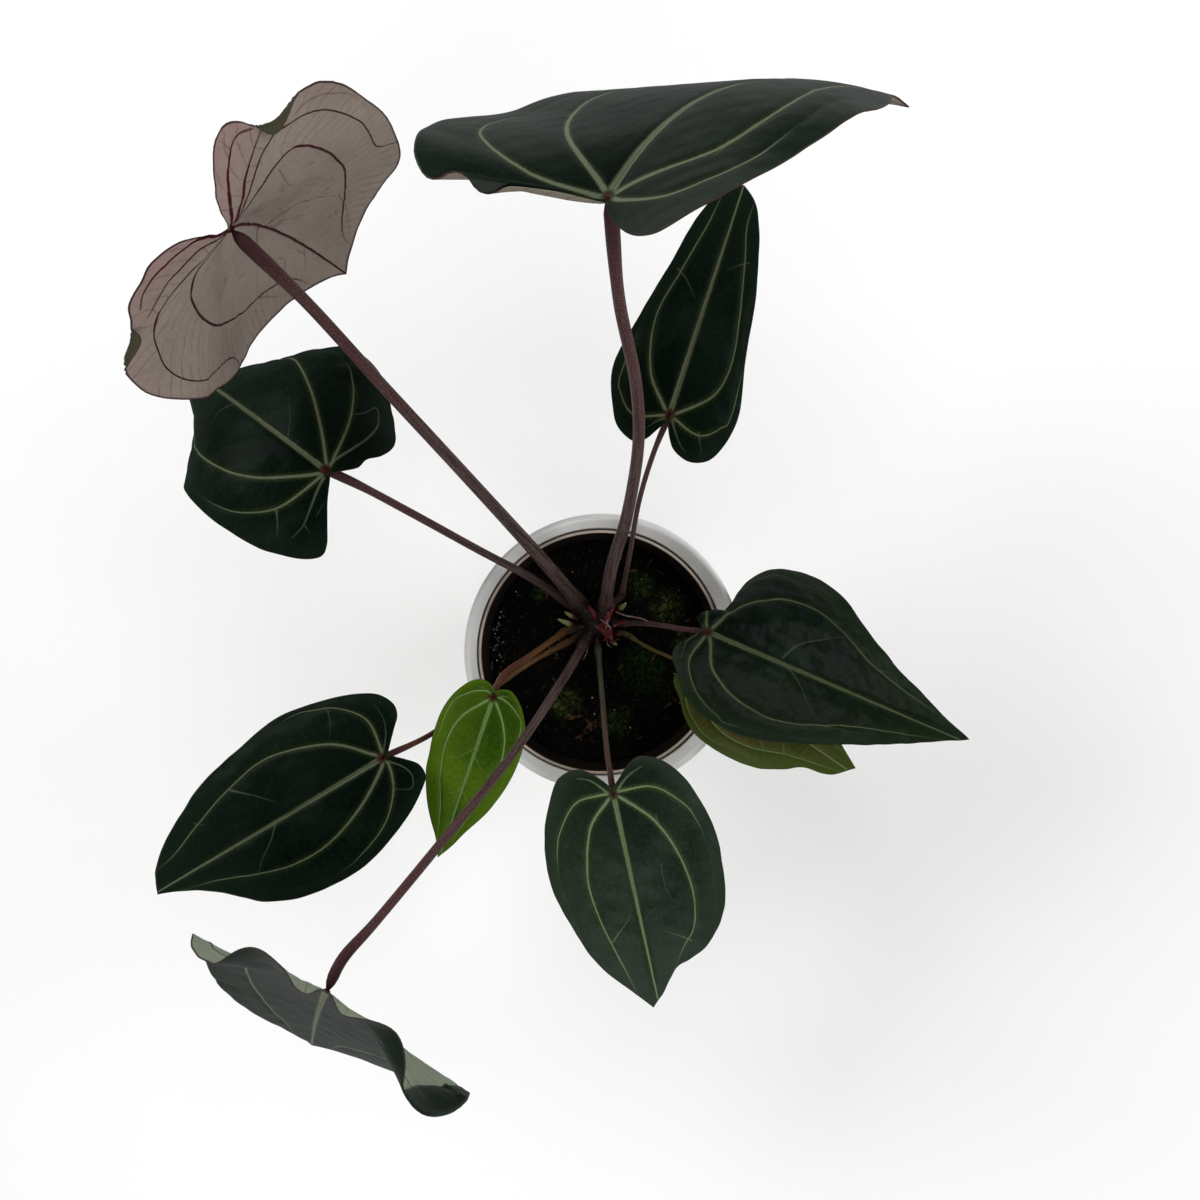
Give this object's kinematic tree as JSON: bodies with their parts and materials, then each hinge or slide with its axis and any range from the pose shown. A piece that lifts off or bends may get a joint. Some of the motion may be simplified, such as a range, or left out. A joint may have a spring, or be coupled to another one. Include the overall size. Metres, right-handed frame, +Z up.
{
  "type": "potted round midnight anthurium",
  "caption": "Aroid house plant with dark heart-shaped velvety leaves on slender stalks, growing from a short crown in a nursery pot inside a plain white cover pot.",
  "frame": {"origin": "middle of the cover pot's flat foot, on the surface it stands on", "axes": "+Z up; +Y towards the tallest leaf, +X towards the leaf that spreads lowest on the right as seen from above"},
  "size_m": [0.3877, 0.4199, 0.3607],
  "materials": {
    "white_pot": "smooth satin white",
    "tan_pot": "thin matte tan plastic",
    "soil": "damp dark bark and peat mix with moss and perlite",
    "crown": "brown-red plant tissue with pale threads",
    "bud": "smooth olive green leaf bud",
    "dark_stalk": "satin maroon brown with pale specks",
    "pale_stalk": "satin orange brown, green at the joint",
    "dark_blade": "velvety green-black with pale veins above, pinkish grey with dark red veins below",
    "lime_blade": "young satin yellow-green with pale veins",
    "olive_blade": "young satin olive green with pale veins"
  },
  "bodies": {
    "root": {"cover_pot": "white_pot", "nursery_pot": "tan_pot", "soil": "soil", "crown": "crown", "bud_1": "bud", "bud_2": "bud", "bud_3": "bud", "bud_4": "bud", "bud_5": "bud", "stalk_a": "dark_stalk", "blade_a": "dark_blade", "stalk_b": "dark_stalk", "blade_b": "dark_blade", "stalk_c": "dark_stalk", "blade_c": "dark_blade", "stalk_d": "dark_stalk", "blade_d": "dark_blade", "stalk_e": "dark_stalk", "blade_e": "dark_blade", "stalk_f": "pale_stalk", "blade_f": "lime_blade", "stalk_g": "dark_stalk", "blade_g": "dark_blade", "stalk_h": "dark_stalk", "blade_h": "dark_blade", "stalk_i": "dark_stalk", "blade_i": "dark_blade", "stalk_j": "pale_stalk", "blade_j": "olive_blade"}
  },
  "joints": []
}
